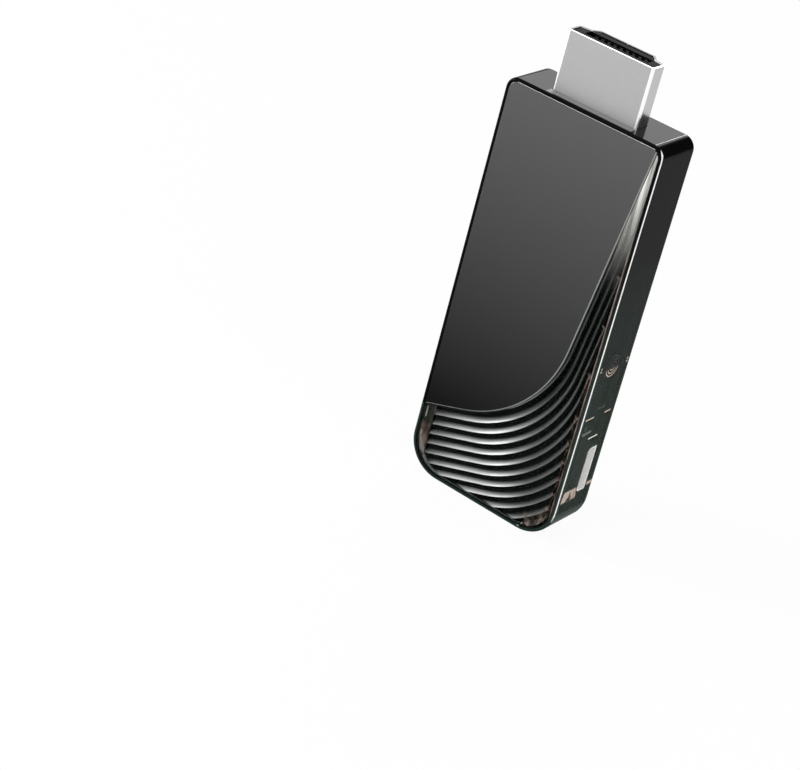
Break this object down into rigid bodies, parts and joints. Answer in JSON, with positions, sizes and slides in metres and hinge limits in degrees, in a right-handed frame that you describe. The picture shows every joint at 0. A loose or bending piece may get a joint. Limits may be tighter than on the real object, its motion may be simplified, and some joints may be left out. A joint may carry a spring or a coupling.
{
  "type": "wireless display dongle",
  "caption": "Flat stick that plugs into a television: satin cover over a smoked window with a wave relief, display plug at one end, power ports, side push button.",
  "frame": {"origin": "centre of the part's outer box, at the far end's face, opposite the plug", "axes": "+Z toward the plug's tip, -Y out of the front face with the wave window, +X toward the wall with the push button"},
  "size_m": [0.0258, 0.0084, 0.0707],
  "materials": {
    "gloss_black": "high gloss",
    "smoked_clear": "polished, smoked clear plastic",
    "satin_cover": "satin dark grey",
    "smoked_relief": "glossy wave relief",
    "joint_strip": "matt",
    "plug_steel": "nickel-plated, fine satin",
    "port_steel": "bright plated",
    "black_plastic": "matt",
    "pale_plastic": "matt off-white",
    "contact_gold": "gold-plated",
    "board_mask": "satin solder mask",
    "chip_black": "matt moulded",
    "inductor_grey": "matt ferrite",
    "can_tin": "tinned sheet",
    "ceramic_tan": "fired ceramic",
    "spreader_metal": "rolled",
    "pad_grey": "soft pad",
    "screw_steel": "zinc-plated",
    "button_black": "gloss with ring grooves",
    "plunger_pale": "moulded"
  },
  "bodies": {
    "dongle": {"frame_black": "gloss_black", "frame_smoke": "smoked_clear", "front_cover": "satin_cover", "front_window": "smoked_clear", "wave_panel": "smoked_relief", "back_cover": "satin_cover", "back_window": "smoked_clear", "back_strip": "joint_strip", "plug_shell": "plug_steel", "plug_insert": "black_plastic", "plug_front_pins": "contact_gold", "plug_back_pins": "contact_gold", "main_board": "board_mask", "board_screws": "screw_steel", "processor": "chip_black", "memory_chip": "chip_black", "flash_chip": "chip_black", "power_chip": "chip_black", "power_inductor": "inductor_grey", "crystal": "can_tin", "radio_shield": "can_tin", "radio_chip": "chip_black", "capacitors": "ceramic_tan", "resistors": "chip_black", "heat_spreader": "spreader_metal", "heat_pad": "pad_grey", "antenna": "can_tin", "status_led": "pale_plastic", "led_diffuser": "pale_plastic", "power_port_shell": "port_steel", "power_port_insert": "black_plastic", "power_port_pins": "contact_gold", "side_port_shell": "port_steel", "side_port_insert": "pale_plastic", "side_port_pins": "contact_gold", "switch_body": "black_plastic"},
    "button": {"mode_button": "button_black", "switch_plunger": "plunger_pale"}
  },
  "joints": [
    {"name": "mode_press", "type": "slide", "parent": "dongle", "child": "button", "axis": [-1, 0, 0], "range_m": [0, 0.0003], "stiffness_N_per_m": 500}
  ]
}
